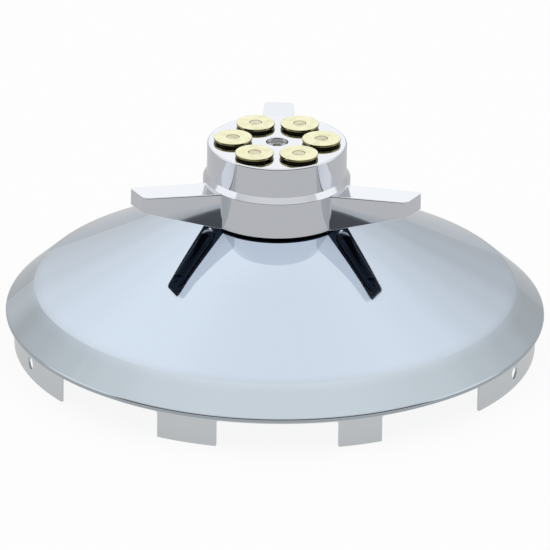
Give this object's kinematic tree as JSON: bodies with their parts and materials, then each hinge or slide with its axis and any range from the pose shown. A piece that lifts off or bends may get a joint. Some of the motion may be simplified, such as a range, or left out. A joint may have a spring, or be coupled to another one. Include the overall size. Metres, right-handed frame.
{
  "type": "spinning hub cap",
  "caption": "Chromed front hub cap with a dome, clip tabs and a free-spinning three-bar spinner that carries a round head of brass cartridge heads.",
  "frame": {"origin": "on the wheel's axis, in the plane of the free ends of the clip tabs", "axes": "+Z along the wheel's axis, away from the hub; one spinner bar points to +Y at rest"},
  "size_m": [0.2232, 0.2232, 0.0916],
  "materials": {
    "shell_chrome": "polished",
    "cast_chrome": "polished",
    "head_chrome": "polished",
    "casing_brass": "turned",
    "primer_brass": "satin",
    "plated_steel": "zinc plated",
    "black_steel": "black oxide",
    "bearing_steel": "ground",
    "cage_plastic": "moulded",
    "seal_rubber": "matte"
  },
  "bodies": {
    "root": {"cap_shell": "shell_chrome", "sealing_washer": "seal_rubber", "backing_washer": "plated_steel", "lock_washer": "plated_steel", "mounting_nut": "plated_steel", "neck_collar": "plated_steel", "stud": "plated_steel", "lower_inner_race": "bearing_steel", "upper_inner_race": "bearing_steel", "inner_spacer": "bearing_steel"},
    "spinner": {"spinner_body": "cast_chrome", "cylinder_head": "head_chrome", "centre_screw": "plated_steel", "casing_1": "casing_brass", "casing_2": "casing_brass", "casing_3": "casing_brass", "casing_4": "casing_brass", "casing_5": "casing_brass", "casing_6": "casing_brass", "primer_1": "primer_brass", "primer_2": "primer_brass", "primer_3": "primer_brass", "primer_4": "primer_brass", "primer_5": "primer_brass", "primer_6": "primer_brass", "lower_outer_race": "bearing_steel", "upper_outer_race": "bearing_steel", "outer_spacer": "bearing_steel", "bearing_shields": "bearing_steel", "bore_circlip": "black_steel"},
    "lower_ball_set": {"lower_balls": "bearing_steel", "lower_cage": "cage_plastic"},
    "upper_ball_set": {"upper_balls": "bearing_steel", "upper_cage": "cage_plastic"}
  },
  "joints": [
    {"name": "spinner_spin", "type": "hinge", "parent": "root", "child": "spinner", "pos_m": [0, 0, 0.07037], "axis": [0, 0, 1], "continuous": true},
    {"name": "lower_ball_set_spin", "type": "hinge", "parent": "root", "child": "lower_ball_set", "pos_m": [0, 0, 0.06662], "axis": [0, 0, 1], "continuous": true},
    {"name": "upper_ball_set_spin", "type": "hinge", "parent": "root", "child": "upper_ball_set", "pos_m": [0, 0, 0.07412], "axis": [0, 0, 1], "continuous": true}
  ],
  "couplings": [
    {"joint": "lower_ball_set_spin", "follows": "spinner_spin", "ratio": 0.62963},
    {"joint": "upper_ball_set_spin", "follows": "spinner_spin", "ratio": 0.62963}
  ]
}
